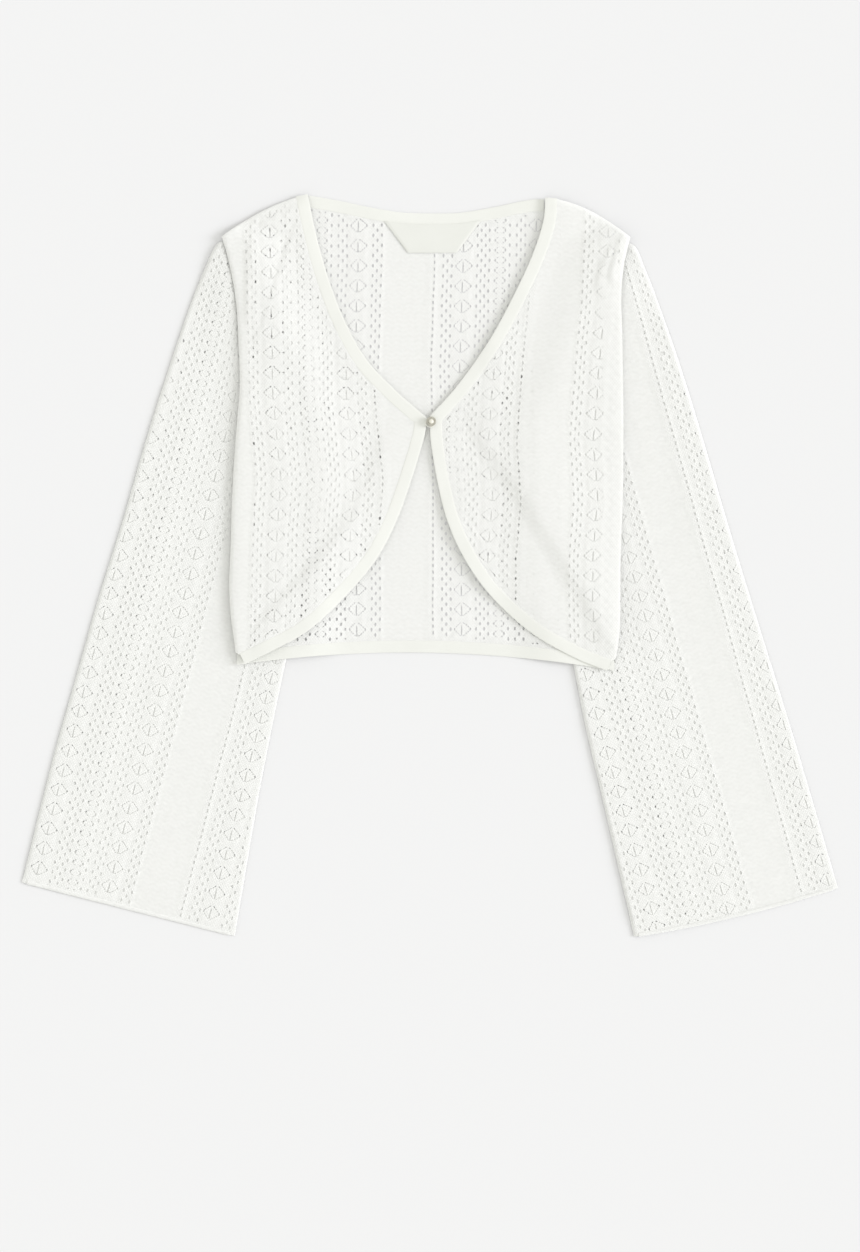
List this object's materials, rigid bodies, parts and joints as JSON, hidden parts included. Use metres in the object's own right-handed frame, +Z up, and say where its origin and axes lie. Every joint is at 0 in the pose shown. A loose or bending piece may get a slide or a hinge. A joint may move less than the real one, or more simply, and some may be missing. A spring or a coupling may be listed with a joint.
{
  "type": "cardigan",
  "caption": "Cropped open-knit cardigan laid flat, with a deep V neck, rounded fronts that meet at a button, plain edge bands and long bell sleeves.",
  "frame": {"origin": "middle of the garment's outline, on the surface that it lies on", "axes": "+X to the right of someone who looks down on the laid-out garment, across it from cuff to cuff; +Y from the hem to the neck; +Z up, off the surface"},
  "size_m": [0.774, 0.7048, 0.0091],
  "materials": {
    "lace_knit": "off-white open knit, matt",
    "plain_tape": "off-white plain tape, matt",
    "label_cloth": "pale grey-white woven label, matt",
    "pearl": "warm pearl, glossy",
    "thread": "cream thread"
  },
  "bodies": {
    "root": {"back_panel": "lace_knit", "front_left": "lace_knit", "front_right": "lace_knit", "sleeve_left": "lace_knit", "sleeve_right": "lace_knit", "neck_band": "plain_tape", "hem_band": "plain_tape", "front_band_left": "plain_tape", "front_band_right": "plain_tape", "neck_label": "label_cloth", "button": "pearl", "button_loop": "thread"}
  },
  "joints": []
}
